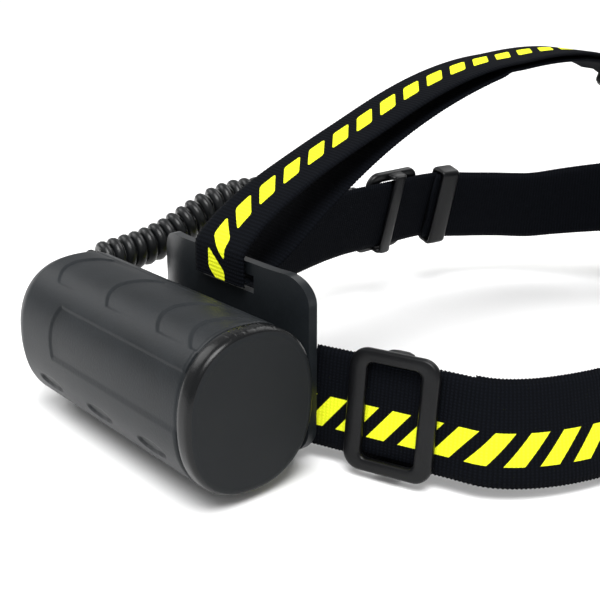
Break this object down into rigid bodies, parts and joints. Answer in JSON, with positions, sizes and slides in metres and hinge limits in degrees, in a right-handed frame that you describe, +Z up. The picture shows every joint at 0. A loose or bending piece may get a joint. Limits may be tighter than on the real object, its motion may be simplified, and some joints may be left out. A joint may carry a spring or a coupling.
{
  "type": "miner's cap lamp",
  "caption": "Headlamp with a rear battery box, elastic head straps, a curly cable and a tilting, focusing lamp on a front bracket.",
  "frame": {"origin": "bottom middle of the whole lamp without its cable, on the surface it stands on", "axes": "+X to the wearer's right, +Y forward from the battery box to the lamp, +Z up"},
  "size_m": [0.1941, 0.3358, 0.1139],
  "materials": {
    "case_rubber": "soft-touch moulded case, fine grain",
    "black_gloss": "moulded, glossy rim, matte face",
    "seal_rubber": "moulded rubber",
    "brass": "plated strip",
    "cell_wrap": "shrink wrap",
    "black_plastic": "moulded nylon",
    "steel": "plain steel",
    "board": "circuit board",
    "plate_plastic": "moulded, satin",
    "pad_foam": "moulded foam",
    "webbing": "knitted elastic with printed yellow marks",
    "lamp_black": "moulded, satin",
    "aluminium": "anodised",
    "led": "phosphor",
    "chrome": "metallised bowl",
    "lens": "clear",
    "washer_plastic": "acetal",
    "cable_jacket": "polyurethane jacket"
  },
  "bodies": {
    "headband": {"holder_plate": "plate_plastic", "rear_pad": "pad_foam", "strap_right": "webbing", "strap_right_return": "webbing", "strap_left": "webbing", "strap_left_return": "webbing", "keeper_right": "black_plastic", "keeper_left": "black_plastic", "top_strap": "webbing", "top_strap_return": "webbing", "front_bracket": "black_plastic", "front_pad": "pad_foam", "lamp_gland": "seal_rubber", "cable_clip": "black_plastic", "cable_rear": "cable_jacket", "cable_curl": "cable_jacket", "cable_front": "cable_jacket"},
    "battery": {"battery_case": "case_rubber", "cell_upper": "cell_wrap", "cell_lower": "cell_wrap", "cell_cradle": "black_plastic", "contact_springs": "steel", "charge_board": "board", "charge_socket": "steel", "flap_pin": "steel", "case_gland": "seal_rubber"},
    "cap": {"case_cap": "black_gloss", "cap_seal": "seal_rubber", "cap_contact": "brass"},
    "flap": {"socket_flap": "seal_rubber"},
    "right_slider": {"slider_right": "black_plastic"},
    "left_slider": {"slider_left": "black_plastic"},
    "top_slider": {"slider_top": "black_plastic"},
    "lamp": {"lamp_housing": "lamp_black", "housing_back": "aluminium", "back_seal": "seal_rubber", "back_screws": "steel", "heat_sink": "aluminium", "led_board": "aluminium", "led_emitter": "led", "reflector": "chrome", "switch_board": "board", "button_boot": "seal_rubber", "hinge_pin_right": "steel", "hinge_pin_left": "steel", "friction_washers": "washer_plastic"},
    "ring": {"focus_ring": "lamp_black"},
    "lens_tube": {"lens_carrier": "black_plastic", "lens": "lens", "lens_seal": "seal_rubber"},
    "button": {"switch_button": "seal_rubber"}
  },
  "joints": [
    {"name": "box_slide", "type": "slide", "parent": "headband", "child": "battery", "axis": [1, 0, 0], "range_m": [0, 0.03]},
    {"name": "cap_pull", "type": "slide", "parent": "battery", "child": "cap", "axis": [1, 0, 0], "range_m": [0, 0.016]},
    {"name": "flap_open", "type": "hinge", "parent": "battery", "child": "flap", "pos_m": [-0.08071, -0.15213, 0.011], "axis": [0, -1, 0], "range_deg": [0, 95]},
    {"name": "right_slider_shift", "type": "slide", "parent": "headband", "child": "right_slider", "axis": [0.9397, 0.342, 0], "range_m": [0, 0.008]},
    {"name": "left_slider_shift", "type": "slide", "parent": "headband", "child": "left_slider", "axis": [0, 1, 0], "range_m": [0, 0.008]},
    {"name": "top_slider_shift", "type": "slide", "parent": "headband", "child": "top_slider", "axis": [0.1133, 0.8679, -0.4837], "range_m": [0, 0.008]},
    {"name": "lamp_tilt", "type": "hinge", "parent": "headband", "child": "lamp", "pos_m": [0.00929, 0.13387, 0.026], "axis": [-1, 0, 0], "range_deg": [0, 60]},
    {"name": "focus_turn", "type": "hinge", "parent": "lamp", "child": "ring", "pos_m": [0.00929, 0.15388, 0.026], "axis": [0, 1, 0], "range_deg": [0, 90]},
    {"name": "lens_slide", "type": "slide", "parent": "lamp", "child": "lens_tube", "axis": [0, 1, 0], "range_m": [0, 0.005]},
    {"name": "button_press", "type": "slide", "parent": "lamp", "child": "button", "axis": [0, 0, -1], "range_m": [0, 0.0012], "stiffness_N_per_m": 500, "springref_m": -0.0006}
  ],
  "couplings": [
    {"joint": "lens_slide", "follows": "focus_turn", "m_per_rad": 0.0031831}
  ]
}
